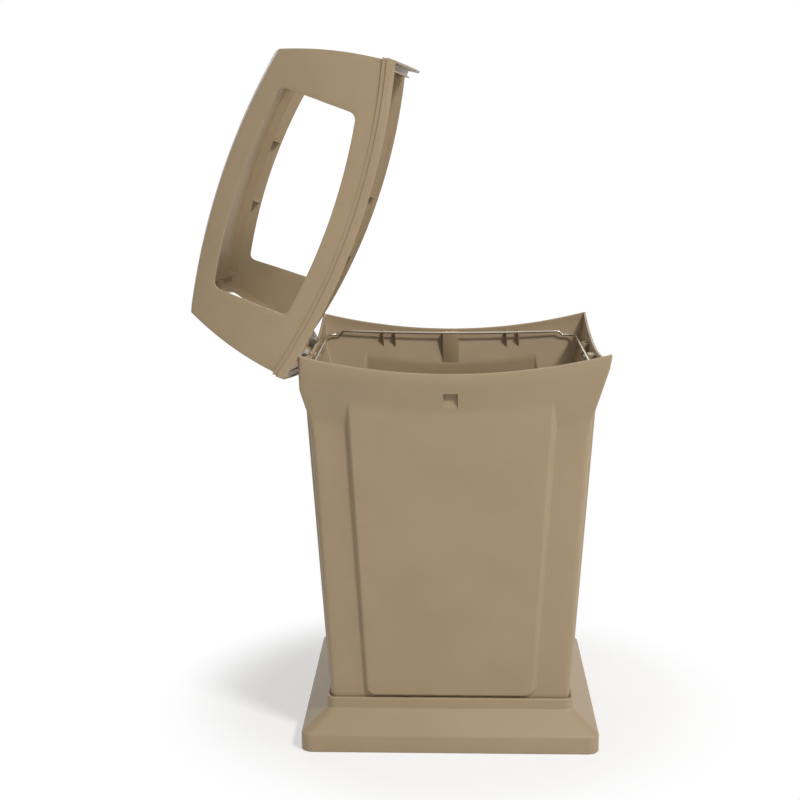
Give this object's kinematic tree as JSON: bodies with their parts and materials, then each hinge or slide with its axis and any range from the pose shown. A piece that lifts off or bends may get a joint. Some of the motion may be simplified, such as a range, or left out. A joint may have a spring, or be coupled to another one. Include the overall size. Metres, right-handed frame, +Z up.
{
  "type": "waste bin with hinged hood",
  "caption": "Square outdoor waste bin: a tapered body on a wide base, and a domed hood with an open window in each side, hinged at one side and standing open",
  "frame": {"origin": "middle of the underside of the base, on the floor", "axes": "+Z up, +X towards the side that the hood opens from, with the hinges at -X, +Y towards the rear"},
  "size_m": [0.8298, 0.632, 1.3823],
  "materials": {
    "tan_base": "satin moulded, fine grain",
    "tan_body": "satin moulded, fine grain",
    "tan_hood": "satin moulded, fine grain",
    "chrome_wire": "bright plated",
    "zinc": "zinc plated",
    "steel": "plain stainless"
  },
  "bodies": {
    "base": {"base_skirt": "tan_base", "body_shell": "tan_body", "base_bolts": "zinc", "base_washers": "zinc", "base_nuts": "zinc", "hinge_leaf_body_front": "steel", "hinge_leaf_body_rear": "steel", "hinge_pin_front": "steel", "hinge_pin_rear": "steel", "hinge_rivets": "steel"},
    "hood": {"hood_shell": "tan_hood", "hinge_leaf_hood_front": "steel", "hinge_leaf_hood_rear": "steel", "hinge_screws": "steel"},
    "ring": {"bag_frame": "chrome_wire"}
  },
  "joints": [
    {"name": "lid_hinge", "type": "hinge", "parent": "base", "child": "hood", "pos_m": [-0.29546, 0, 0.77783], "axis": [0, 1, 0], "range_deg": [0, 70]},
    {"name": "bag_ring_lift", "type": "slide", "parent": "base", "child": "ring", "axis": [0, 0, 1], "range_m": [0, 0.06]}
  ]
}
